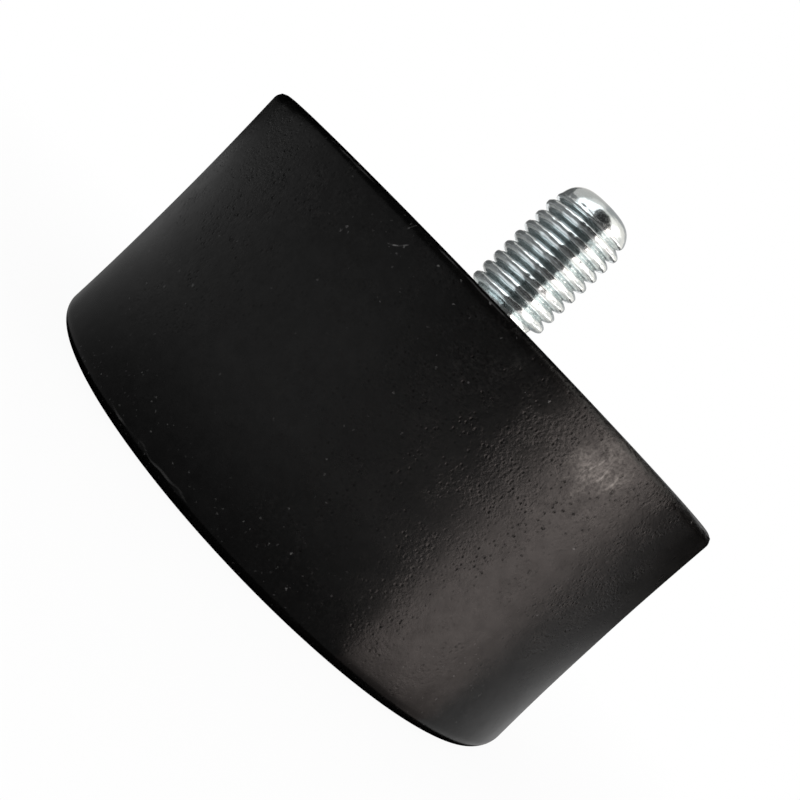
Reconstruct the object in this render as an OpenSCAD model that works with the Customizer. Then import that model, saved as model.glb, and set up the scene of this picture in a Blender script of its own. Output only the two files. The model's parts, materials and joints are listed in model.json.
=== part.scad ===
// Anti-vibration mount: a rubber cylinder bonded to a steel end plate with a threaded stud.
// The base rests on z = 0, and the stud points along +Z.

/* [Rubber body] */
// Diameter of the body at its two ends
body_d = 53; // [40:0.5:80]
// Height of the body from the base to the end plate's face
body_h = 26.2; // [16:0.1:60]
// Depth that the side draws in at its middle
waist_depth = 0.22; // [0.1:0.01:1.5]
// Height of the straight land between each edge and the drawn-in side
waist_land = 0.5; // [0.2:0.1:3]
// Radius of the moulded edge around the stud end
top_edge_r = 0.9; // [0.4:0.1:2.2]
// Radius of the moulded edge around the base
base_edge_r = 1.5; // [0.4:0.1:5]
// Width of the rubber rim around the end plate
rim_w = 2.5; // [1.4:0.1:6]

/* [End plate] */
// Thickness of the plate
plate_t = 2; // [1:0.1:5]
// Chamfer on the plate's exposed edge
plate_chamfer = 0.4; // [0.1:0.1:0.8]

/* [Stud] */
// Nominal diameter of the thread
thread_d = 8; // [6:0.5:12]
// Height of the stud above the end plate's face
stud_h = 13.2; // [8:0.1:40]
// Length of the bevel at each end of the thread
thread_bevel = 0.5; // [0.2:0.1:1]
// Length of the relief neck between the plate and the thread
neck_h = 1; // [0.5:0.1:3]
// Depth of the relief neck below the thread's crest
neck_depth = 0.9; // [0.4:0.1:1.5]
// Depth of the plain tip below the thread's crest
tip_step = 0.4; // [0.1:0.1:0.8]
// Radius of the rounding at the tip
tip_round_r = 2; // [0.5:0.1:2.1]
// Width of the step by which the shoulder in the plate is wider than the thread
shoulder_step = 0.5; // [0.2:0.1:2]
// Diameter of the flat head under the plate
head_d = 18; // [16:0.5:26]
// Thickness of the flat head
head_t = 3; // [1:0.1:6]
// Chamfer on the flat head's lower edge
head_chamfer = 0.6; // [0.2:0.1:0.9]

/* [Fits] */
// Thickness of the bonding film between the rubber and the metal
bond_film = 0.02; // [0.01:0.01:0.1]
// Clearance around the shoulder in the plate's hole
shoulder_clearance = 0.02; // [0.01:0.01:0.1]

/* [Hidden] */
$fn = 128;
// Facets of the waist's wide arc, of which only a short stretch shows
waist_fn = 2880;

body_r = body_d / 2;
plate_r = body_r - rim_w;
plate_z = body_h - plate_t;

// The waist's arc meets the two lands, one at each end of its height
waist_low = base_edge_r + waist_land;
waist_high = body_h - top_edge_r - waist_land;
waist_half = (waist_high - waist_low) / 2;
waist_r = (waist_half * waist_half + waist_depth * waist_depth) / (2 * waist_depth);

thread_r = thread_d / 2;
neck_r = thread_r - neck_depth;
tip_r = thread_r - tip_step;
shoulder_r = thread_r + shoulder_step;
head_r = head_d / 2;
head_z = plate_z - head_t;
thread_z = body_h + neck_h;
stud_top = body_h + stud_h;
tip_z = stud_top - tip_round_r;

// A quarter of a disc, to round the outer corner of a profile that is revolved
module quarter_disc(r, turn) {
    rotate(turn)
        intersection() {
            circle(r);
            square(2 * r);
        }
}

// Half section of the body without its recess: straight side, two rounded edges
module straight_section() {
    square([body_r - base_edge_r, body_h - top_edge_r]);
    translate([0, base_edge_r])
        square([body_r, body_h - base_edge_r - top_edge_r]);
    translate([0, base_edge_r])
        square([body_r - top_edge_r, body_h - base_edge_r]);
    translate([body_r - base_edge_r, base_edge_r])
        quarter_disc(base_edge_r, -90);
    translate([body_r - top_edge_r, body_h - top_edge_r])
        quarter_disc(top_edge_r, 0);
}

// Half section of the recess that the plate and the stud's head fill, with the bonding film
module recess_section() {
    translate([0, plate_z - bond_film])
        square([plate_r + bond_film, plate_t + 2 * bond_film]);
    translate([0, head_z - bond_film])
        square([head_r + bond_film, head_t + bond_film]);
}

// Moulded rubber cylinder with a drawn-in side
module rubber_body() {
    color("#1b1a19")
        rotate_extrude()
            difference() {
                straight_section();
                translate([body_r - waist_depth + waist_r, waist_low + waist_half])
                    circle(waist_r, $fn = waist_fn);
                recess_section();
            }
}

// Steel disc that the rubber is bonded to, with a hole for the stud's shoulder
module end_plate() {
    color("#c3c8c9")
        rotate_extrude()
            polygon([
                [shoulder_r + shoulder_clearance, plate_z],
                [plate_r, plate_z],
                [plate_r, body_h - plate_chamfer],
                [plate_r - plate_chamfer, body_h],
                [shoulder_r + shoulder_clearance, body_h]
            ]);
}

// Half section of the stud up to where its tip starts to round
module stud_shank_section() {
    polygon([
        [0, head_z],
        [head_r - head_chamfer, head_z],
        [head_r, head_z + head_chamfer],
        [head_r, plate_z],
        [shoulder_r, plate_z],
        [shoulder_r, body_h],
        [neck_r, body_h],
        [neck_r, thread_z],
        [thread_r, thread_z + thread_bevel],
        [thread_r, tip_z - thread_bevel],
        [tip_r, tip_z],
        [0, tip_z]
    ]);
}

// Half section of the plain rounded tip
module stud_tip_section() {
    translate([0, tip_z])
        square([tip_r - tip_round_r, tip_round_r]);
    translate([tip_r - tip_round_r, tip_z])
        quarter_disc(tip_round_r, 0);
}

// Zinc-plated stud: flat head, shoulder in the plate, relief neck, thread at its full diameter and round tip
module threaded_stud() {
    color("#d5dadb")
        rotate_extrude() {
            stud_shank_section();
            stud_tip_section();
        }
}

rubber_body();
end_plate();
threaded_stud();
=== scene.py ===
"""Looks of the anti-vibration mount: moulded black rubber, a zinc-plated end plate and a stud with a
rolled thread, under soft light in a white room."""
import json
import math
from typing import NamedTuple

import bpy
import numpy as np
from mathutils import Matrix, Vector, noise


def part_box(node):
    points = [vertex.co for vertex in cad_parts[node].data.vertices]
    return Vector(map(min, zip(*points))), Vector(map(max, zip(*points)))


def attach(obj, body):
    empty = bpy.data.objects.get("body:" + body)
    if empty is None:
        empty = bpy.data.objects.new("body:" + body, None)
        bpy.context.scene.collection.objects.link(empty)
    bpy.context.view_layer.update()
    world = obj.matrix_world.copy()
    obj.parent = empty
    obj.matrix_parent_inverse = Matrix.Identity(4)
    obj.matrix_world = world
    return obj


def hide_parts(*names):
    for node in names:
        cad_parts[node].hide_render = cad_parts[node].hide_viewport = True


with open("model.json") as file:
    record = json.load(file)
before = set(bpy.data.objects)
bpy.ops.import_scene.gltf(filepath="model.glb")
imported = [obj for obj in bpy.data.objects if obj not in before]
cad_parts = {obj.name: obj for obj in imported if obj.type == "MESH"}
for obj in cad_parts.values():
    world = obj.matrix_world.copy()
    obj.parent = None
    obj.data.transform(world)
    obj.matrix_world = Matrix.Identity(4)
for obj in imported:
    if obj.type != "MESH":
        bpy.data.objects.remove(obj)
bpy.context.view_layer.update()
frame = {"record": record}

# One millimetre in the scene's metres
MM = 0.001


class Cloud(NamedTuple):
    """Noise that a mark comes and goes by: its features in a millimetre, the noise at which the mark
    starts and is full, how much shows at those two, and the noise's detail and roughness."""
    per_mm: float
    start: float
    full: float
    low: float = 0.0
    high: float = 1.0
    detail: float = 2.0
    roughness: float = 0.5


class Specks(NamedTuple):
    """Specks: their cells in a millimetre, their largest radius in millimetres, and the share of the
    cells that have one."""
    per_mm: float
    radius: float
    share: float


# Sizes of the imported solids
_, body_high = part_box("rubber_body")
plate_low, plate_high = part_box("end_plate")
stud_low, stud_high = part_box("threaded_stud")
mounts = {mount["name"]: mount for mount in frame["record"]["mounts"]}
BODY_R = body_high.x
BODY_H = body_high.z
PLATE_R = plate_high.x
PLATE_Z = plate_low.z
HEAD_R = stud_high.x
HEAD_Z = stud_low.z
STUD_TOP = stud_high.z
THREAD_R = mounts["stud"]["dims"]["r_mm"] * MM

# Rubber body. Turns are degrees about the stud, 0 at the camera and growing to its right
BODY_STEPS = 512
EDGE_STEPS = 24
SIDE_STEPS = 80
# Rings of points on the base's face, as shares of the body's radius
BASE_RINGS = (0.05, 0.3, 0.6, 0.85)
TOP_EDGE_R = 0.9 * MM
BASE_EDGE_R = 1.5 * MM
WAIST_DEPTH = 0.22 * MM
BOND_FILM = 0.02 * MM
RIM_LIP_R = 0.25 * MM
# The base's edge is rounder on one side: by how much, at which turn and over which half width
WORN_R = 0.5 * MM
WORN_TURN = 95
WORN_HALF = 40
# Depth of the side's slow waves, and their number in a millimetre
WAVE_DEPTH = 0.05 * MM
WAVES_PER_MM = 0.12
# Depth of the nicks in the stud end's edge, their number in a millimetre, and the noise they start at
NICK_DEPTH = 0.15 * MM
NICKS_PER_MM = 0.6
NICK_START = 0.25
# Moulding flash on the two edges: its height over the surface, the turn over which it fades at its
# ends, its waves in a millimetre, and how much of it stands at their middle and at the least
FLASH_HEIGHT = 0.045 * MM
FLASH_FADE = 3
FLASH_WAVES_PER_MM = 0.7
FLASH_MIDDLE = 0.75
FLASH_LEAST = 0.2
# For each edge, the flash's level, half width and wander, and the turns between which it stands
TOP_FLASH = (
    BODY_H - 0.25 * MM, 0.055 * MM, 0.05 * MM,
    ((-43, -25), (-15, 5), (60, 95), (130, 170), (-160, -120), (-95, -70)),
)
BASE_FLASH = (
    1.14 * MM, 0.11 * MM, 0.3 * MM,
    ((-35, -9), (75, 110), (150, 178), (-140, -100)),
)

# Marks on the side, in millimetres: the middle of a scuff that carries a painted highlight, hair scratches
# along arcs, each with the arc's centre and radius, the scratch's middle and half its length, and places
# with more dust and with deeper grain, each with its reach
SCUFF_AND_HIGHLIGHT = (13.21, -22.97, 23.5)
SCRATCHES = (
    ((-9.5, -24.6, 26.0), 2.5, (-7.95, -25.1, 24.1), 0.9),
    ((-10.3, -24.3, 26.2), 2.23, (-8.26, -25.0, 25.65), 0.4),
)
DUSTY = (
    ((-8.2, -25.0, 24.4), 2.4),
    ((-6.1, -25.6, 21.2), 1.6),
    ((-11.3, -23.8, 23.2), 1.6),
    ((-12.4, -23.3, 3.6), 2.0),
    ((-9.4, -24.6, 2.6), 3.0),
    ((16.8, -20.3, 5.5), 4.5),
)
GRAINY = (
    ((8.6, -24.9, 19.0), 14.0),
    ((13.0, -22.9, 5.0), 6.0),
)
# Height in millimetres up to which the duller finish of the base's face fades
BASE_FACE = 0.4

# Rubber's finish, in millimetres. Two numbers are where something starts and where it is full, and
# two more are how much shows there
# Greys, each with its warmth
BLACK_GREY = (0.0022, 0.0)
# Grey at mid height; towards the base and the top the rubber goes from it to black as painted shade
UNSHADED_BLOOM_GREY = (0.0099, 0.0)
WEAR_GREY = (0.012, 0.03)
# Painted shade in the grain's pits
PIT_SHADE_GREY = (0.0, 0.0)
FLASH_GREY = (0.05, 0.0)
# Pale rub and painted highlight of the scuff
SCUFF_HIGHLIGHT_GREY = (0.23, 0.07)
STREAK_GREY = (0.4, 0.06)
SCRATCH_GREY = (0.14, 0.0)
DUST_GREY = (0.11, 0.0)
# Noise of the sheen and the bloom as features in a millimetre and detail, and what each takes from it
SHEEN_NOISE = (0.35, 3.0)
SHEEN_UNEVEN = (0.3, 0.7, 0.27, 0.33)
BLOOM_UNEVEN = (0.32, 0.68, 0.75, 1.0)
# By height: the roughness, on the side and on the base's face, and the painted shade that takes the bloom
# away towards the base and the top
SHEEN_FROM_BASE = (0, 14, 0.66, 1.0)
SHEEN_BASE_FACE = (0, BASE_FACE, 0.5, 0.0)
# Painted shade: heights over which the bloom fades in from the base and out towards the top
PAINTED_SHADE_FROM_BASE = (3, 10)
PAINTED_SHADE_FROM_TOP = (26.5, 17)
# How strongly the surface mirrors, and how much of that is left in a pit, whose painted shade also takes
# gloss away
GLOSS = Cloud(0.9, start=0.3, full=0.7, low=0.25, high=0.35, detail=4.0, roughness=0.6)
PIT_SHADE_GLOSS = (0, 1, 1.0, 0.35)
# Moulded grain: its depth, its noise as features in a millimetre, detail and roughness, and its
# strength by height, on the base's face, in wide patches and in small clusters
GRAIN_DEPTH = 0.06
GRAIN_NOISE = (3.2, 3.0, 0.65)
GRAIN_FROM_BASE = (3, 21, 0.4, 1.0)
GRAIN_BASE_FACE = (0, BASE_FACE, 1.0, 0.0)
GRAIN_PATCHES = Cloud(0.09, start=0.48, full=0.66, low=0.25)
GRAIN_CLUSTERS = Cloud(0.5, start=0.42, full=0.58, low=0.35, high=1.2)
GRAIN_WEAR = Cloud(3.6, start=0.46, full=0.66, detail=3.0, roughness=0.6)
# Round pits: their cells in a millimetre, their form across a cell, and their depth by chance
PITS_PER_MM = 2.7
PIT_FORM = (0.05, 0.4, 1.0, 0.0)
PIT_DEPTH = (0.1, 1.0, 0.0, 0.9)
# How much of the flash has to stand for its worn edge to show
FLASH_WORN = (0.25, 1.0)
# Scuff and its painted highlight, by the distance from its middle: its outline, its core, which is a pale
# rub and a painted highlight, its halo, which is painted highlight, its mottle and its streaks, which are
# drawn out along the stud
SCUFF_HIGHLIGHT_OUTLINE = Cloud(0.6, start=0.3, full=0.7, low=-1.0, detail=3.0)
SCUFF_HIGHLIGHT_CORE = (0.0, 3.2, 0.9, 0.0)
PAINTED_HIGHLIGHT_HALO = (1.0, 7.5, 0.17, 0.0)
SCUFF_HIGHLIGHT_MOTTLE = Cloud(3.4, start=0.36, full=0.66, low=0.12, detail=3.0, roughness=0.7)
STREAK_REACH = (0.0, 1.5, 1.0, 0.0)
STREAK_STRETCH = (1, 1, 0.25)
STREAKS = Cloud(4.0, start=0.56, full=0.66)
# Hair scratches, by the distance from their line, and what breaks them
SCRATCH_WIDTH = (0.02, 0.07, 1.0, 0.0)
SCRATCH_BREAKS = Cloud(2.5, start=0.4, full=0.6, low=0.15)
# Dust: its specks, which are pushed about by noise of so many features in a millimetre and so far, the
# patches it lies in, how much lies near the base, the core of a dusty place, and its relief
FINE_DUST = Specks(per_mm=1.3, radius=0.11, share=0.5)
COARSE_DUST = Specks(per_mm=0.6, radius=0.18, share=0.3)
EXTRA_DUST = Specks(per_mm=2.5, radius=0.11, share=0.55)
DUST_PUSH = (5.0, 0.35)
DUST_PATCHES = Cloud(0.14, start=0.42, full=0.6, low=0.15)
DUST_FROM_BASE = (6.5, 2.5, 0.0, 0.65)
DUST_CORE = 0.3
DUST_RELIEF = 0.6
# A speck's smallest radius and its full middle, as shares of its largest radius and of its own
SPECK_LEAST = 0.4
SPECK_MIDDLE = 0.4

# End plate
PLATE_STEPS = 256
PLATE_CHAMFER = 0.4 * MM
PLATE_BEVEL = 0.06 * MM
SHOULDER_R = 4.5 * MM
SHOULDER_GAP = 0.02 * MM

# Stud
STUD_STEPS = 192
STUD_ROWS = 400
# Makes the rows of points lie closer towards the tip
ROW_EASE = 1.15
THREAD_PITCH = 1.25 * MM
CREST_R = THREAD_R - 0.05 * MM
ROOT_R = 3.19 * MM
# Roundness of the thread's root, as a share of the pitch, and powers that round its crest
ROOT_ROUND = 0.06
CREST_POWERS = (2.6, 0.7)
# Depth of the rolled surface's dents, their number in a millimetre, how far they lie inwards, and the
# share and the number of finer ones among them
DENT_DEPTH = 0.05 * MM
DENTS_PER_MM = 1.5
DENT_INWARD = 0.5
FINE_DENT_SHARE = 0.3
FINE_DENTS = 3
# How much calmer the tip is, and how far under its rounding that starts, as a share of its radius
TIP_CALM = 0.75
TIP_CALM_START = 0.3
# Height over the end plate at which a crest passes the stud's left side
CREST_HEIGHT = 6.2 * MM
NECK_R = 3.1 * MM
NECK_FILLET = 0.2 * MM
# Heights over the end plate where the thread's root and crest start, and the crest's run-in
ROOT_START = 0.5 * MM
CREST_START = 0.7 * MM
CREST_RUN_IN = 0.6 * MM
# Depths under the tip where the last groove and the last crest end, and how slowly they do
GROOVE_END = 1.55 * MM
GROOVE_RUN_OUT = 0.12 * MM
CREST_END = 1.7 * MM
CREST_RUN_OUT = 1.0 * MM
TIP_R = 3.6 * MM
TIP_ROUND_R = 2.0 * MM
TIP_FLAT_R = 0.5 * MM
HEAD_CHAMFER = 0.6 * MM

# Zinc plating: where it is bright and where it is dull, its roughness, and its look in the thread's roots
PLATE_BRIGHT = (0.67, 0.68, 0.685, 1)
PLATE_DULL = (0.55, 0.56, 0.565, 1)
PLATE_ROUGHNESS = 0.3
STUD_BRIGHT = (0.74, 0.79, 0.8, 1)
STUD_DULL = (0.62, 0.67, 0.68, 1)
STUD_ROOTS = (0.66, 0.71, 0.715, 1)
STUD_ROUGHNESS = 0.18
ZINC_CLOUDS = Cloud(0.8, start=0.35, full=0.7, detail=4.0)
# Fine grain of the plating as features in a millimetre and detail, the range of it that counts, how far
# it moves the roughness, and its relief
ZINC_GRAIN = (7.0, 3.0)
ZINC_GRAIN_RANGE = (0.3, 0.7)
ZINC_SPREAD = (-0.05, 0.06)
ZINC_STRENGTH = 0.12
ZINC_DEPTH = 0.02

# Camera, fitted to the photograph's 800 pixel frame
FRAME_PX = 800
SENSOR_MM = 36
CAMERA_DISTANCE = 117.4 * MM
CAMERA_HEIGHT = 23.62 * MM
CAMERA_PITCH = math.radians(5.591)
CAMERA_YAW = math.radians(-1.868)
CAMERA_ROLL = math.radians(46.21)
FOCAL_PX = 1336.7
CENTRE_PX = (349.1, 393.3)
CLIP = (5 * MM, 50)

# Stage. Cards are sheets that only reflections see
NEUTRAL = (1, 1, 1)
PALE_BLUE = (0.97, 0.99, 1)
PALE_WARM = (1, 0.965, 0.93)
MILD_WARM = (1, 0.945, 0.885)
WARM = (1, 0.87, 0.82)
WORLD_LIGHT = 0.6
FLOOR_R = 6
FLOOR_STEPS = 256
FLOOR_GREY = 0.9
# Whiteness of the floor close to the part and away from it, and how many body radii that is
FLOOR_WHITE = (0.95, 1.0)
FLOOR_AWAY = 4
CARD_DISTANCE = 0.55
CARD_STEPS = 24
# Turn close to where the camera sees the body's side edge on
RIM_TURN = 76.5
# Distance from the body over which a floor card goes from its near to its far brightness
FADE_REACH = 0.1
KEY_REACH = 0.022
# Height of the floor cards over the floor
FLOOR_LIFT = 0.02 * MM
# The dark ring of floor around the base: how far it reaches under the base's edge and out from it,
# and how much of it the other floor cards leave free
CONTACT_IN = 1.4 * MM
CONTACT_OUT = 6.0 * MM
CONTACT_FREE = 0.45 * MM
# Studio lamps: where each stands, what the key lamp is turned to, and each one's width and height
KEY_PLACE = (0.265, -0.141, 0.06)
KEY_TARGET = (0, 0, 0.02)
KEY_SIZE = (0.19, 0.3)
STUD_KEY_PLACE = (0.3, -0.053, 0.257)
STUD_KEY_SIZE = (0.28, 0.25)
STUD_FILL_PLACE = (0.18, 0.06, 0.02)
STUD_FILL_SIZE = (0.16, 0.06)


# Shapes
def make_object(name, points, faces):
    """A mesh object in the scene."""
    mesh = bpy.data.meshes.new(name)
    mesh.from_pydata(np.asarray(points).tolist(), [], faces)
    made = bpy.data.objects.new(name, mesh)
    bpy.context.scene.collection.objects.link(made)
    return made


def shade(piece, sharp_deg):
    """Smooth shading that keeps edges crisp where faces meet at more than an angle."""
    piece.data.shade_smooth()
    piece.data.set_sharp_from_angle(angle=math.radians(sharp_deg))


def ring(radius, z, steps):
    """Points of one ring, with one radius and height or one for each point."""
    angle = np.arange(steps) * 2 * math.pi / steps
    radius = np.broadcast_to(radius, steps)
    z = np.broadcast_to(z, steps)
    return np.stack([radius * np.cos(angle), radius * np.sin(angle), z], axis=1)


def band(first, second, steps):
    """Faces between two rings, each given by the number of its first point."""
    faces = []
    for j in range(steps):
        k = (j + 1) % steps
        faces.append((first + j, first + k, second + k, second + j))
    return faces


def fan(tip, first, steps):
    """Faces between a point and a ring, which is given by the number of its first point."""
    return [(tip, first + j, first + (j + 1) % steps) for j in range(steps)]


def skin(name, rings, sharp_deg):
    """A closed mesh through rings of points, from a point at its foot to a point at its top."""
    steps = len(rings[0])
    points = np.concatenate([rings[0].mean(axis=0)[None], *rings, rings[-1].mean(axis=0)[None]])
    starts = [1 + i * steps for i in range(len(rings))]
    faces = [face[::-1] for face in fan(0, starts[0], steps)]
    for first, second in zip(starts, starts[1:]):
        faces += band(first, second, steps)
    faces += fan(len(points) - 1, starts[-1], steps)
    piece = make_object(name, points, faces)
    shade(piece, sharp_deg)
    return piece


def arc(centre, radius, start_deg, end_deg, steps):
    """Profile points (radius, height) along an arc."""
    angles = np.radians(np.linspace(start_deg, end_deg, steps + 1))
    return [(centre[0] + radius * math.cos(a), centre[1] + radius * math.sin(a)) for a in angles]


def field(points, per_mm, seed=0):
    """Smooth noise between about -1 and 1 at each point, with a number of features in a millimetre."""
    shift = Vector((seed, 0, 0))
    return np.array([noise.noise(Vector(point) * (per_mm / MM) + shift) for point in points])


def smooth(x):
    """Smooth step from 0 to 1."""
    x = np.clip(x, 0, 1)
    return x * x * (3 - 2 * x)


# Pieces
def side_rings(turns):
    """Radius, height and tilt of the normal for each ring of the body's side, from base to stud end."""
    base_r = BASE_EDGE_R + WORN_R * smooth(1 - np.abs(turns - WORN_TURN) / WORN_HALF)
    top_z = BODY_H - TOP_EDGE_R
    rings = []
    for tilt in np.radians(np.linspace(-90, 0, EDGE_STEPS + 1)):
        rings.append((BODY_R - base_r * (1 - math.cos(tilt)), base_r * (1 + math.sin(tilt)), tilt))
    for t in np.linspace(0, 1, SIDE_STEPS + 1)[1:-1]:
        rings.append((BODY_R - WAIST_DEPTH * 4 * t * (1 - t), base_r + (top_z - base_r) * t, 0))
    for tilt in np.radians(np.linspace(0, 90, EDGE_STEPS + 1)):
        r = BODY_R - TOP_EDGE_R * (1 - math.cos(tilt))
        rings.append((r, top_z + TOP_EDGE_R * math.sin(tilt), tilt))
    return rings


def flash_line(turns, level, half, wander, stretches):
    """Moulding flash along an edge: how much stands at each turn, at which level, and its half width."""
    path = ring(BODY_R, level, len(turns))
    shown = np.zeros(len(turns))
    for start, end in stretches:
        shown += smooth((turns - start) / FLASH_FADE) * smooth((end - turns) / FLASH_FADE)
    shown *= np.clip(FLASH_MIDDLE + field(path, FLASH_WAVES_PER_MM, seed=11), FLASH_LEAST, 1)
    return shown, level + wander * field(path, FLASH_WAVES_PER_MM, seed=3), half


def make_rubber_body():
    """The moulded cylinder with its recess for the plate and the stud's head."""
    steps = BODY_STEPS
    turns = (np.arange(steps) * 360 / steps + 270) % 360 - 180
    lines = [flash_line(turns, *TOP_FLASH), flash_line(turns, *BASE_FLASH)]
    rings = [ring(BODY_R * share, 0, steps) for share in BASE_RINGS]
    flash = [np.zeros(steps)] * len(rings)
    for r, z, tilt in side_rings(turns):
        points = ring(r, z, steps)
        inward = WAVE_DEPTH * (0.5 - 0.5 * field(points, WAVES_PER_MM))
        if tilt > 0:
            nicks = np.maximum(field(points, NICKS_PER_MM, seed=7) - NICK_START, 0)
            inward += NICK_DEPTH * math.sin(tilt) * nicks
        ridge = sum(shown * np.exp(-(((z - level) / half) ** 2)) for shown, level, half in lines)
        out = FLASH_HEIGHT * ridge - inward * math.cos(tilt)
        rings.append(ring(r + out * math.cos(tilt), z + out * math.sin(tilt), steps))
        flash.append(ridge)
    recess_r = PLATE_R + BOND_FILM
    head_r = HEAD_R + BOND_FILM
    inside = arc((recess_r + RIM_LIP_R, BODY_H - RIM_LIP_R), RIM_LIP_R, 90, 180, 5)
    inside += [
        (recess_r, PLATE_Z - BOND_FILM),
        (head_r, PLATE_Z - BOND_FILM),
        (head_r, HEAD_Z - BOND_FILM),
        (head_r / 2, HEAD_Z - BOND_FILM),
    ]
    rings += [ring(r, z, steps) for r, z in inside]
    flash += [np.zeros(steps)] * len(inside)
    piece = skin("moulded_rubber", rings, sharp_deg=50)
    marks = piece.data.attributes.new("flash", "FLOAT", "POINT")
    marks.data.foreach_set("value", np.concatenate([[0], *flash, [0]]))
    return piece


def make_end_plate():
    """The pressed steel disc, as a ring with a chamfered outer edge."""
    hole_r = SHOULDER_R + SHOULDER_GAP
    section = [
        (hole_r, PLATE_Z),
        (PLATE_R - PLATE_BEVEL, PLATE_Z),
        (PLATE_R, PLATE_Z + PLATE_BEVEL),
        (PLATE_R, BODY_H - PLATE_CHAMFER),
        (PLATE_R - PLATE_CHAMFER, BODY_H),
        (hole_r + PLATE_BEVEL, BODY_H),
        (hole_r, BODY_H - PLATE_BEVEL),
    ]
    points = np.concatenate([ring(r, z, PLATE_STEPS) for r, z in section])
    faces = []
    for i in range(len(section)):
        faces += band(i * PLATE_STEPS, (i + 1) % len(section) * PLATE_STEPS, PLATE_STEPS)
    piece = make_object("zinc_end_plate", points, faces)
    shade(piece, sharp_deg=25)
    return piece


def thread_radius(angle, z):
    """Radius of the rolled thread's surface at each angle round the stud, at a height."""
    turn = (z - BODY_H - CREST_HEIGHT) / THREAD_PITCH - (angle - math.pi) / (2 * math.pi)
    from_crest = turn - np.round(turn)
    from_groove = turn - np.floor(turn) - 0.5
    rounded = np.sqrt((0.5 - np.abs(from_crest)) ** 2 + ROOT_ROUND**2) - ROOT_ROUND
    share = rounded / (math.sqrt(0.25 + ROOT_ROUND**2) - ROOT_ROUND)
    form = (1 - (1 - share) ** CREST_POWERS[0]) ** CREST_POWERS[1]
    crest_z = z - from_crest * THREAD_PITCH
    groove_z = z - from_groove * THREAD_PITCH
    root_r = NECK_R + (ROOT_R - NECK_R) * smooth((z - BODY_H - ROOT_START) / THREAD_PITCH)
    root_r = TIP_R + (root_r - TIP_R) * smooth((STUD_TOP - GROOVE_END - groove_z) / GROOVE_RUN_OUT)
    crest_r = TIP_R + (CREST_R - TIP_R) * smooth((STUD_TOP - CREST_END - z) / CREST_RUN_OUT)
    grown = smooth((crest_z - BODY_H - CREST_START) / CREST_RUN_IN)
    return root_r + (crest_r - root_r) * form * grown


def dents(points):
    """Small unevenness of the rolled surface, mostly inwards."""
    broad = field(points, DENTS_PER_MM) - DENT_INWARD
    fine = FINE_DENT_SHARE * field(points, FINE_DENTS * DENTS_PER_MM, seed=5)
    return DENT_DEPTH * (broad + fine)


def make_stud():
    """The stud: flat head, shoulder, relief neck, rolled thread and plain rounded tip."""
    angle = np.arange(STUD_STEPS) * 2 * math.pi / STUD_STEPS
    foot = [
        (HEAD_R / 2, HEAD_Z),
        (HEAD_R - HEAD_CHAMFER, HEAD_Z),
        (HEAD_R, HEAD_Z + HEAD_CHAMFER),
        (HEAD_R, PLATE_Z),
        (SHOULDER_R, PLATE_Z),
        (SHOULDER_R, BODY_H - PLATE_BEVEL),
        (SHOULDER_R - PLATE_BEVEL, BODY_H),
        (NECK_R + NECK_FILLET, BODY_H),
        (NECK_R, BODY_H + NECK_FILLET),
    ]
    rings = [ring(r, z, STUD_STEPS) for r, z in foot]
    round_z = STUD_TOP - TIP_ROUND_R
    low = BODY_H + 2 * NECK_FILLET
    for t in np.linspace(0, 1, STUD_ROWS + 1):
        z = low + (STUD_TOP - low) * (1 - (1 - t) ** ROW_EASE)
        over = max(z - round_z, 0)
        inset = TIP_ROUND_R - math.sqrt(max(TIP_ROUND_R**2 - over**2, 0))
        radius = thread_radius(angle, z) - inset
        calm = 1 - TIP_CALM * smooth((z - round_z) / TIP_ROUND_R + TIP_CALM_START)
        radius += calm * dents(ring(radius, z, STUD_STEPS))
        rings.append(ring(radius, z, STUD_STEPS))
    rings.append(ring(TIP_FLAT_R, STUD_TOP, STUD_STEPS))
    return skin("rolled_stud", rings, sharp_deg=40)


# Materials
def empty_material(name):
    """A material with no nodes but its output."""
    material = bpy.data.materials.new(name)
    material.use_nodes = True
    tree = material.node_tree
    tree.nodes.clear()
    output = tree.nodes.new("ShaderNodeOutputMaterial")
    return material, tree, output.inputs["Surface"]


def new_material(name):
    """A material with its main shader."""
    material, tree, surface = empty_material(name)
    shader = tree.nodes.new("ShaderNodeBsdfPrincipled")
    tree.links.new(shader.outputs["BSDF"], surface)
    return material, tree, shader


def grey(level, warmth=0.0):
    """A colour with no hue, or with a little warmth."""
    return (level * (1 + warmth), level, level * (1 - warmth), 1)


def add(tree, kind, inputs=None, **settings):
    """A node with its settings; each input is a value or another node's socket."""
    made = tree.nodes.new(kind)
    for key, value in settings.items():
        setattr(made, key, value)
    for key, value in (inputs or {}).items():
        if isinstance(value, bpy.types.NodeSocket):
            tree.links.new(value, made.inputs[key])
        else:
            made.inputs[key].default_value = value
    return made


def vector_of(tree, operation, inputs):
    """The node of a vector sum."""
    return add(tree, "ShaderNodeVectorMath", inputs, operation=operation)


def math_of(tree, operation, first, second=0.0):
    """The result of a sum on one or two values or sockets."""
    return add(tree, "ShaderNodeMath", {0: first, 1: second}, operation=operation).outputs[0]


def millimetres(tree):
    """Object coordinates in millimetres."""
    place = add(tree, "ShaderNodeTexCoord").outputs["Object"]
    return vector_of(tree, "SCALE", {0: place, "Scale": 1 / MM}).outputs["Vector"]


def height_of(tree, place):
    """Height of a place."""
    return add(tree, "ShaderNodeSeparateXYZ", {0: place}).outputs["Z"]


def distance_to(tree, place, point):
    """Distance between a place and a point."""
    return vector_of(tree, "DISTANCE", {0: place, 1: point}).outputs["Value"]


def stretched(tree, place, factors):
    """A place with each of its coordinates multiplied by a factor."""
    return vector_of(tree, "MULTIPLY", {0: place, 1: factors}).outputs["Vector"]


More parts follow.
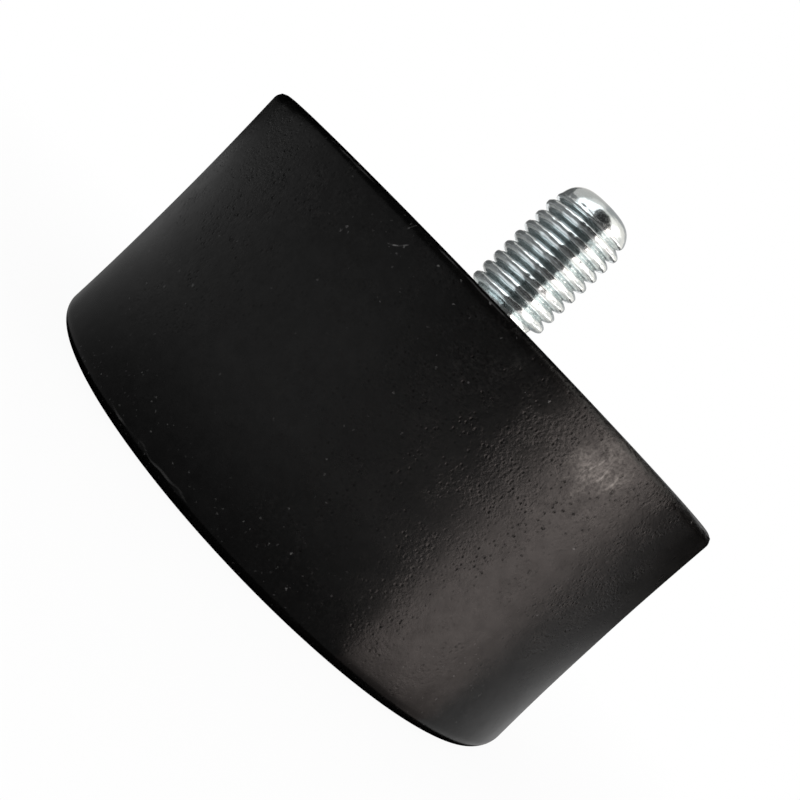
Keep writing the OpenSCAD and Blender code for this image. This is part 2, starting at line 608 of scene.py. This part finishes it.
def noise_at(tree, place, scale, detail=2.0, roughness=0.5):
    """Noise at a number of features a millimetre."""
    inputs = {"Vector": place, "Scale": scale, "Detail": detail, "Roughness": roughness}
    return add(tree, "ShaderNodeTexNoise", inputs).outputs["Fac"]


def cells_at(tree, place, scale):
    """Round cells at a number a millimetre: the distance from each one's middle and three chances."""
    cells = add(tree, "ShaderNodeTexVoronoi", {"Vector": place, "Scale": scale})
    chances = add(tree, "ShaderNodeSeparateColor", {0: cells.outputs["Color"]})
    return cells.outputs["Distance"], chances.outputs


def remap(tree, value, from_low, from_high, to_low=0.0, to_high=1.0):
    """A value moved from one range to another, and kept inside it."""
    inputs = {
        "Value": value,
        "From Min": from_low,
        "From Max": from_high,
        "To Min": to_low,
        "To Max": to_high,
    }
    return add(tree, "ShaderNodeMapRange", inputs).outputs["Result"]


def cloud_at(tree, place, cloud):
    """How much shows of a cloud at a place."""
    level = noise_at(tree, place, cloud.per_mm, cloud.detail, cloud.roughness)
    return remap(tree, level, cloud.start, cloud.full, cloud.low, cloud.high)


def nearness(tree, place, middle, reach, core=0.5):
    """1 around a middle, up to a share of a reach, and 0 from the reach on."""
    return remap(tree, distance_to(tree, place, middle), core * reach, reach, 1.0, 0.0)


def mix_colour(tree, share, first, second):
    """A colour between two others."""
    mixer = add(tree, "ShaderNodeMix", {0: share, 6: first, 7: second}, data_type="RGBA")
    return mixer.outputs[2]


def ragged(tree, place, scale, amount):
    """A place pushed about by noise at a number of features a millimetre, so that shapes turn uneven."""
    push = add(tree, "ShaderNodeTexNoise", {"Vector": place, "Scale": scale}).outputs["Color"]
    centred = vector_of(tree, "SUBTRACT", {0: push, 1: (0.5, 0.5, 0.5)}).outputs["Vector"]
    scaled = vector_of(tree, "SCALE", {0: centred, "Scale": amount}).outputs["Vector"]
    return vector_of(tree, "ADD", {0: place, 1: scaled}).outputs["Vector"]


def specks_at(tree, place, specks):
    """How much of a speck lies at a place."""
    distance, chances = cells_at(tree, place, specks.per_mm)
    largest = specks.radius * specks.per_mm
    size = remap(tree, chances[1], 0, 1, SPECK_LEAST * largest, largest)
    dots = remap(tree, math_of(tree, "DIVIDE", distance, size), SPECK_MIDDLE, 1.0, 1.0, 0.0)
    kept = remap(tree, chances[0], 1 - specks.share, 1.0)
    return math_of(tree, "MULTIPLY", dots, kept)


def dust(tree, place):
    """How much dust lies at a place: fine specks in patches, a few coarse ones, and more near the base and
    in dusty places."""
    patches = cloud_at(tree, place, DUST_PATCHES)
    shaped = ragged(tree, place, *DUST_PUSH)
    lying = math_of(tree, "MULTIPLY", specks_at(tree, shaped, FINE_DUST), patches)
    lying = math_of(tree, "MAXIMUM", lying, specks_at(tree, shaped, COARSE_DUST))
    extra = specks_at(tree, shaped, EXTRA_DUST)
    low = math_of(tree, "MULTIPLY", remap(tree, height_of(tree, place), *DUST_FROM_BASE), patches)
    lying = math_of(tree, "MAXIMUM", lying, math_of(tree, "MULTIPLY", extra, low))
    for middle, reach in DUSTY:
        near = nearness(tree, place, middle, reach, DUST_CORE)
        lying = math_of(tree, "MAXIMUM", lying, math_of(tree, "MULTIPLY", extra, near))
    return lying


def scratch(tree, place, centre, radius, middle, reach):
    """A broken hair scratch along an arc about a centre, near its middle."""
    off = math_of(tree, "SUBTRACT", distance_to(tree, place, centre), radius)
    line = remap(tree, math_of(tree, "ABSOLUTE", off), *SCRATCH_WIDTH)
    end = nearness(tree, place, middle, reach)
    broken = cloud_at(tree, place, SCRATCH_BREAKS)
    return math_of(tree, "MULTIPLY", line, math_of(tree, "MULTIPLY", end, broken))


def scuff_and_painted_highlight(tree, place):
    """A rubbed patch with a painted highlight on it: how much shows of its pale mottle, which is the
    painted highlight as well as the rub, and of its streaks along the stud's direction.
    """
    uneven = cloud_at(tree, place, SCUFF_HIGHLIGHT_OUTLINE)
    away = math_of(tree, "ADD", distance_to(tree, place, SCUFF_AND_HIGHLIGHT), uneven)
    mottle = cloud_at(tree, place, SCUFF_HIGHLIGHT_MOTTLE)
    halo = remap(tree, away, *PAINTED_HIGHLIGHT_HALO)
    reach = math_of(tree, "MAXIMUM", remap(tree, away, *SCUFF_HIGHLIGHT_CORE), halo)
    patch = math_of(tree, "MULTIPLY", reach, mottle)
    lines = cloud_at(tree, stretched(tree, place, STREAK_STRETCH), STREAKS)
    streaks = math_of(tree, "MULTIPLY", remap(tree, away, *STREAK_REACH), lines)
    return patch, streaks


def bloom_and_painted_edge_shade(tree, height, patches):
    """How much pale bloom the rubber shows: most at mid height, none at its edges, and uneven. Its falling
    away towards the base and the top is painted shade.
    """
    from_base = remap(tree, height, *PAINTED_SHADE_FROM_BASE)
    from_top = remap(tree, height, *PAINTED_SHADE_FROM_TOP)
    uneven = remap(tree, patches, *BLOOM_UNEVEN)
    return math_of(tree, "MULTIPLY", uneven, math_of(tree, "MULTIPLY", from_base, from_top))


def rubber_colour(tree, place, patches, worn, painted_pit_shade, dusty):
    """Black with bloom that painted shade takes away towards the base and the top, worn grain with painted
    shade in its pits, worn flash, a scuff with a painted highlight, hair scratches and dust.
    """
    bloom_and_edge_shade = bloom_and_painted_edge_shade(tree, height_of(tree, place), patches)
    # Painted shade: the bloom fades to black towards the base and the top
    colour = mix_colour(tree, bloom_and_edge_shade, grey(*BLACK_GREY), grey(*UNSHADED_BLOOM_GREY))
    colour = mix_colour(tree, worn, colour, grey(*WEAR_GREY))
    # Painted shade: the grain's pits turn black
    colour = mix_colour(tree, painted_pit_shade, colour, grey(*PIT_SHADE_GREY))
    flash = add(tree, "ShaderNodeAttribute", attribute_name="flash").outputs["Fac"]
    colour = mix_colour(tree, remap(tree, flash, *FLASH_WORN), colour, grey(*FLASH_GREY))
    patch, streaks = scuff_and_painted_highlight(tree, place)
    # Painted highlight: a pale patch where the key light's reflection is brightest, over a rubbed scuff
    colour = mix_colour(tree, patch, colour, grey(*SCUFF_HIGHLIGHT_GREY))
    colour = mix_colour(tree, streaks, colour, grey(*STREAK_GREY))
    for mark in SCRATCHES:
        colour = mix_colour(tree, scratch(tree, place, *mark), colour, grey(*SCRATCH_GREY))
    return mix_colour(tree, dusty, colour, grey(*DUST_GREY))


def rubber_pits(tree, place):
    """Depth of the round pits in the moulded grain."""
    distance, chances = cells_at(tree, place, PITS_PER_MM)
    depth = remap(tree, chances[0], *PIT_DEPTH)
    return math_of(tree, "MULTIPLY", remap(tree, distance, *PIT_FORM), depth)


def grain_strength(tree, place, height):
    """How much of the grain shows on the side, less to the base and in patches, and on the base's face."""
    pressed = remap(tree, height, *GRAIN_FROM_BASE)
    patches = cloud_at(tree, place, GRAIN_PATCHES)
    clusters = cloud_at(tree, place, GRAIN_CLUSTERS)
    for middle, reach in GRAINY:
        patches = math_of(tree, "MAXIMUM", patches, nearness(tree, place, middle, reach))
    side = math_of(tree, "MULTIPLY", pressed, math_of(tree, "MULTIPLY", patches, clusters))
    return math_of(tree, "MAXIMUM", side, remap(tree, height, *GRAIN_BASE_FACE))


def rubber_sheen(tree, height, patches):
    """Roughness of the rubber: uneven, smoother to the base and dull on the base's face."""
    uneven = remap(tree, patches, *SHEEN_UNEVEN)
    side = math_of(tree, "MULTIPLY", uneven, remap(tree, height, *SHEEN_FROM_BASE))
    return math_of(tree, "MAXIMUM", side, remap(tree, height, *SHEEN_BASE_FACE))


def rubber_material():
    """Black moulded rubber with a pitted grain in patches, and an uneven sheen."""
    material, tree, shader = new_material("black_rubber")
    place = millimetres(tree)
    height = height_of(tree, place)
    patches = noise_at(tree, place, *SHEEN_NOISE)
    dusty = dust(tree, place)
    strength = grain_strength(tree, place, height)
    pits = rubber_pits(tree, place)
    # Painted shade in the grain's pits, which darkens both their colour and their gloss
    painted_pit_shade = math_of(tree, "MULTIPLY", pits, strength)
    worn = math_of(tree, "MULTIPLY", cloud_at(tree, place, GRAIN_WEAR), strength)
    gloss = math_of(tree, "MULTIPLY", cloud_at(tree, place, GLOSS), remap(tree, painted_pit_shade, *PIT_SHADE_GLOSS))
    grain = math_of(tree, "SUBTRACT", noise_at(tree, place, *GRAIN_NOISE), pits)
    height_over = math_of(tree, "ADD", grain, math_of(tree, "MULTIPLY", dusty, DUST_RELIEF))
    relief = {"Height": height_over, "Strength": strength, "Distance": GRAIN_DEPTH * MM}
    bump = add(tree, "ShaderNodeBump", relief)
    colour = rubber_colour(tree, place, patches, worn, painted_pit_shade, dusty)
    tree.links.new(colour, shader.inputs["Base Color"])
    tree.links.new(rubber_sheen(tree, height, patches), shader.inputs["Roughness"])
    tree.links.new(bump.outputs["Normal"], shader.inputs["Normal"])
    tree.links.new(gloss, shader.inputs["Specular IOR Level"])
    return material


def zinc_material(name, bright, dull, roughness, roots=None):
    """Bright zinc plating over steel, with a fine uneven sheen and, on a thread, a darker colour in the
    roots.
    """
    material, tree, shader = new_material(name)
    place = millimetres(tree)
    fine = noise_at(tree, place, *ZINC_GRAIN)
    tint = mix_colour(tree, cloud_at(tree, place, ZINC_CLOUDS), bright, dull)
    if roots:
        level = stretched(tree, place, (1, 1, 0))
        radius = vector_of(tree, "LENGTH", {0: level}).outputs["Value"]
        deep = remap(tree, radius, ROOT_R / MM, (ROOT_R + CREST_R) / 2 / MM, 1.0, 0.0)
        tint = mix_colour(tree, deep, tint, roots)
    sheen = remap(tree, fine, *ZINC_GRAIN_RANGE, *(roughness + spread for spread in ZINC_SPREAD))
    relief = {"Height": fine, "Strength": ZINC_STRENGTH, "Distance": ZINC_DEPTH * MM}
    bump = add(tree, "ShaderNodeBump", relief)
    tree.links.new(tint, shader.inputs["Base Color"])
    tree.links.new(sheen, shader.inputs["Roughness"])
    tree.links.new(bump.outputs["Normal"], shader.inputs["Normal"])
    shader.inputs["Metallic"].default_value = 1
    return material


def dress(piece, material, node):
    """Gives a piece its material, and lets it stand for its solid."""
    piece.data.materials.append(material)
    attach(piece, "root")
    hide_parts(node)
    return piece


# Stage
def seen_in_picture(tree):
    """1 for what the camera sees straight, in a reflection or through glass, and 0 for what only lights."""
    path = add(tree, "ShaderNodeLightPath").outputs
    direct = math_of(tree, "MAXIMUM", path["Is Camera Ray"], path["Is Glossy Ray"])
    return math_of(tree, "MAXIMUM", direct, path["Is Transmission Ray"])


def distance_out(tree):
    """Distance of a place on the stage from the middle of the base, in metres."""
    place = add(tree, "ShaderNodeNewGeometry").outputs["Position"]
    return vector_of(tree, "LENGTH", {0: place}).outputs["Value"]


def make_world():
    """A white room: plain soft light all round, and white where it is seen."""
    world = bpy.data.worlds.new("white_room")
    bpy.context.scene.world = world
    world.use_nodes = True
    tree = world.node_tree
    tree.nodes.clear()
    strength = remap(tree, seen_in_picture(tree), 0, 1, WORLD_LIGHT, 1.0)
    background = add(tree, "ShaderNodeBackground", {"Color": grey(1), "Strength": strength})
    output = add(tree, "ShaderNodeOutputWorld")
    tree.links.new(background.outputs[0], output.inputs["Surface"])


def make_floor():
    """A plain pale floor that keeps a faint shadow. It is open under the base and clear from below, so
    that the base can be looked at too."""
    points = np.concatenate([ring(r, 0, FLOOR_STEPS) for r in (FLOOR_R, BODY_R - CONTACT_IN)])
    floor = make_object("floor", points, band(0, FLOOR_STEPS, FLOOR_STEPS))
    material, tree, surface = empty_material("pale_floor")
    whiteness = remap(tree, distance_out(tree), BODY_R, FLOOR_AWAY * BODY_R, *FLOOR_WHITE)
    share = math_of(tree, "MULTIPLY", seen_in_picture(tree), whiteness)
    pale = add(tree, "ShaderNodeBsdfDiffuse", {"Color": grey(FLOOR_GREY)})
    white = add(tree, "ShaderNodeEmission", {"Color": grey(1), "Strength": 1.0})
    mixed = add(tree, "ShaderNodeMixShader", {0: share, 1: pale.outputs[0], 2: white.outputs[0]})
    below = add(tree, "ShaderNodeNewGeometry").outputs["Backfacing"]
    clear = add(tree, "ShaderNodeBsdfTransparent")
    whole = add(tree, "ShaderNodeMixShader", {0: below, 1: mixed.outputs[0], 2: clear.outputs[0]})
    tree.links.new(whole.outputs[0], surface)
    floor.data.materials.append(material)


def make_card(name, rows, levels, tint=NEUTRAL, receivers=None, reach=FADE_REACH):
    """A card through rows of points, with a brightness near the part and one at a reach from it. Where
    receivers are given, it shines on them alone and is black to other pieces."""
    across = len(rows[0])
    faces = []
    for i in range(len(rows) - 1):
        for j in range(across - 1):
            a = i * across + j
            faces.append((a, a + 1, a + across + 1, a + across))
    card = make_object(name, [point for row in rows for point in row], faces)
    material, tree, surface = empty_material(name)
    level = remap(tree, distance_out(tree), BODY_R, BODY_R + reach, *levels)
    glow = add(tree, "ShaderNodeEmission", {"Color": (*tint, 1), "Strength": level})
    tree.links.new(glow.outputs[0], surface)
    material.cycles.emission_sampling = "NONE"
    card.data.materials.append(material)
    for ray in ("camera", "diffuse", "transmission", "shadow", "volume_scatter"):
        setattr(card, "visible_" + ray, False)
    if receivers:
        card.light_linking.receiver_collection = receivers


def card_turns(start_deg, end_deg):
    """Even turns from one angle to another."""
    return np.linspace(start_deg, end_deg, CARD_STEPS + 1)


def facing(turn_deg):
    """Direction of a turn, in plan."""
    turn = math.radians(turn_deg)
    return Vector((math.sin(turn), -math.cos(turn)))


def column(foot, way, low_deg, high_deg, distance):
    """Points of a card one over another, at a distance from a foot and between two elevations."""
    rises = np.radians(card_turns(low_deg, high_deg))
    return [(*(foot + distance * math.cos(rise) * way), distance * math.sin(rise)) for rise in rises]


def mirrored(turn_deg):
    """Point of the body's side at a turn, and the direction that the camera sees mirrored there."""
    normal = facing(turn_deg)
    point = BODY_R * normal
    view = (point - Vector((0, -CAMERA_DISTANCE))).normalized()
    return point, view - 2 * view.dot(normal) * normal


def floor_card(name, turns, levels, tint=NEUTRAL, reach=FADE_REACH):
    """A card on the floor that the body's side mirrors between two turns."""
    rows = []
    for turn in card_turns(*turns):
        point, way = mirrored(turn)
        rows.append([(*(point + out * way), FLOOR_LIFT) for out in (CONTACT_FREE, CARD_DISTANCE)])
    make_card(name, rows, levels, tint, None, reach)


def wall_card(name, turns, top_deg, level, tint=NEUTRAL, receivers=None):
    """An upright card that the body's side mirrors between two turns, up to an elevation."""
    rows = [column(*mirrored(turn), 0, top_deg, CARD_DISTANCE) for turn in card_turns(*turns)]
    make_card(name, rows, (level, level), tint, receivers)


def sky_card(name, turns, rises, level, tint=NEUTRAL, receivers=None, distance=CARD_DISTANCE):
    """A card between two turns about the stud and two elevations."""
    middle = Vector((0, 0))
    rows = [column(middle, facing(turn), *rises, distance) for turn in card_turns(*turns)]
    make_card(name, rows, (level, level), tint, receivers)


def contact_card():
    """The dark ring of floor close around the base."""
    reaches = (BODY_R - CONTACT_IN, BODY_R + CONTACT_OUT)
    rows = []
    for turn in card_turns(-180, 180):
        rows.append([(*(reach * facing(turn)), FLOOR_LIFT / 2) for reach in reaches])
    make_card("contact_shade", rows, (0, 0))


def make_softbox(name, place, target, size, radiance, tint, receivers=None):
    """A rectangular studio lamp of an even brightness, turned to a point, for all pieces or some."""
    lamp = bpy.data.lights.new(name, "AREA")
    lamp.shape = "RECTANGLE"
    lamp.size, lamp.size_y = size
    lamp.energy = radiance * math.pi * size[0] * size[1]
    lamp.color = tint
    holder = bpy.data.objects.new(name, lamp)
    holder.location = place
    holder.rotation_euler = (Vector(target) - Vector(place)).to_track_quat("-Z", "Y").to_euler()
    holder.visible_camera = False
    if receivers:
        holder.light_linking.receiver_collection = receivers
    bpy.context.scene.collection.objects.link(holder)


def make_camera():
    """The camera at the photograph's viewpoint, rolled so that the stud points to the upper right."""
    back = Vector((
        -math.sin(CAMERA_YAW) * math.cos(CAMERA_PITCH),
        -math.cos(CAMERA_YAW) * math.cos(CAMERA_PITCH),
        math.sin(CAMERA_PITCH),
    ))
    right = Vector((math.cos(CAMERA_YAW), -math.sin(CAMERA_YAW), 0))
    up = back.cross(right)
    across = math.cos(CAMERA_ROLL) * right + math.sin(CAMERA_ROLL) * up
    upward = -math.sin(CAMERA_ROLL) * right + math.cos(CAMERA_ROLL) * up
    lens = bpy.data.cameras.new("camera")
    lens.sensor_width = SENSOR_MM
    lens.lens = FOCAL_PX / FRAME_PX * SENSOR_MM
    lens.shift_x = (FRAME_PX / 2 - CENTRE_PX[0]) / FRAME_PX
    lens.shift_y = (CENTRE_PX[1] - FRAME_PX / 2) / FRAME_PX
    lens.clip_start, lens.clip_end = CLIP
    camera = bpy.data.objects.new("camera", lens)
    turned = Matrix((across, upward, back)).transposed().to_4x4()
    camera.matrix_world = Matrix.Translation((0, -CAMERA_DISTANCE, CAMERA_HEIGHT)) @ turned
    bpy.context.scene.collection.objects.link(camera)
    bpy.context.scene.camera = camera


def make_floor_cards():
    """What the rubber mirrors of the floor, from its left rim to its right one."""
    contact_card()
    floor_card("left_rim_floor", (-RIM_TURN, -68), levels=(0.2, 0.2))
    floor_card("dark_floor", (-68, -5), levels=(0.12, 0.31))
    floor_card("middle_floor", (-5, 22.2), levels=(0.12, 0.22))
    floor_card("key_floor", (22.2, 37), levels=(0.15, 2.35), tint=WARM, reach=KEY_REACH)
    floor_card("key_side_floor", (37, 44), levels=(0.3, 1.4), tint=WARM, reach=KEY_REACH)
    floor_card("right_floor", (44, 54), levels=(0.45, 0.24))
    floor_card("right_rim_floor", (54, RIM_TURN), levels=(0.44, 0.03), reach=2 * FADE_REACH)


def make_wall_cards(metal):
    """What the rubber, or the metal alone, mirrors of the room in front."""
    wall_card("left_wall", (-RIM_TURN, -52), top_deg=30, level=0.12, receivers=metal)
    wall_card("front_wall", (-52, -8), top_deg=30, level=0.2)
    wall_card("dark_wall", (-8, 20), top_deg=30, level=0.05, receivers=metal)
    wall_card("key_side_wall", (35, 41.5), top_deg=40, level=1.1, tint=WARM)


def make_sky_cards(metal):
    """What the metal, and here and there the rubber, mirrors overhead, behind and all round."""
    nearer = 0.97 * CARD_DISTANCE
    farther = 1.1 * CARD_DISTANCE
    sky_card("overhead", (-80, -19), (28, 88), 1.95, PALE_BLUE, metal)
    sky_card("front_ceiling", (-19, 57), (30, 78), 0.03, receivers=metal)
    sky_card("left_ceiling", (-180, -80), (30, 66), 0.6, PALE_WARM, metal)
    sky_card("key_ceiling", (57, 115), (32, 75), 1.35, MILD_WARM)
    sky_card("right_ceiling", (115, 152), (0, 66), 1.05, MILD_WARM, metal)
    sky_card("behind_wall", (152, 180), (0, 45), 0.42, receivers=metal)
    sky_card("behind_ceiling", (130, 180), (45, 84), 0.42, receivers=metal)
    sky_card("behind_edge", (146, 172), (14, 34), 0.5, distance=nearer)
    sky_card("room", (-180, 180), (0, 90), 0.85, PALE_WARM, metal, farther)


def make_lamps(metal):
    """A warm key lamp from the right, and two lamps that shine on the metal alone."""
    tip = (0, 0, STUD_TOP)
    make_softbox("key", KEY_PLACE, KEY_TARGET, KEY_SIZE, radiance=2.8, tint=WARM)
    make_softbox("stud_key", STUD_KEY_PLACE, tip, STUD_KEY_SIZE, 0.9, MILD_WARM, metal)
    make_softbox("stud_fill", STUD_FILL_PLACE, tip, STUD_FILL_SIZE, 1.4, MILD_WARM, metal)


def make_stage(metal):
    """The white room, its floor, what the pieces mirror and the lamps."""
    make_world()
    make_floor()
    make_floor_cards()
    make_wall_cards(metal)
    make_sky_cards(metal)
    make_lamps(metal)


make_camera()
dress(make_rubber_body(), rubber_material(), "rubber_body")
plate_zinc = zinc_material("plate_zinc", PLATE_BRIGHT, PLATE_DULL, PLATE_ROUGHNESS)
plate = dress(make_end_plate(), plate_zinc, "end_plate")
stud_zinc = zinc_material("stud_zinc", STUD_BRIGHT, STUD_DULL, STUD_ROUGHNESS, STUD_ROOTS)
stud = dress(make_stud(), stud_zinc, "threaded_stud")
metal_pieces = bpy.data.collections.new("metal")
for piece in (plate, stud):
    metal_pieces.objects.link(piece)
make_stage(metal_pieces)
bpy.context.scene.view_settings.view_transform = "Standard"
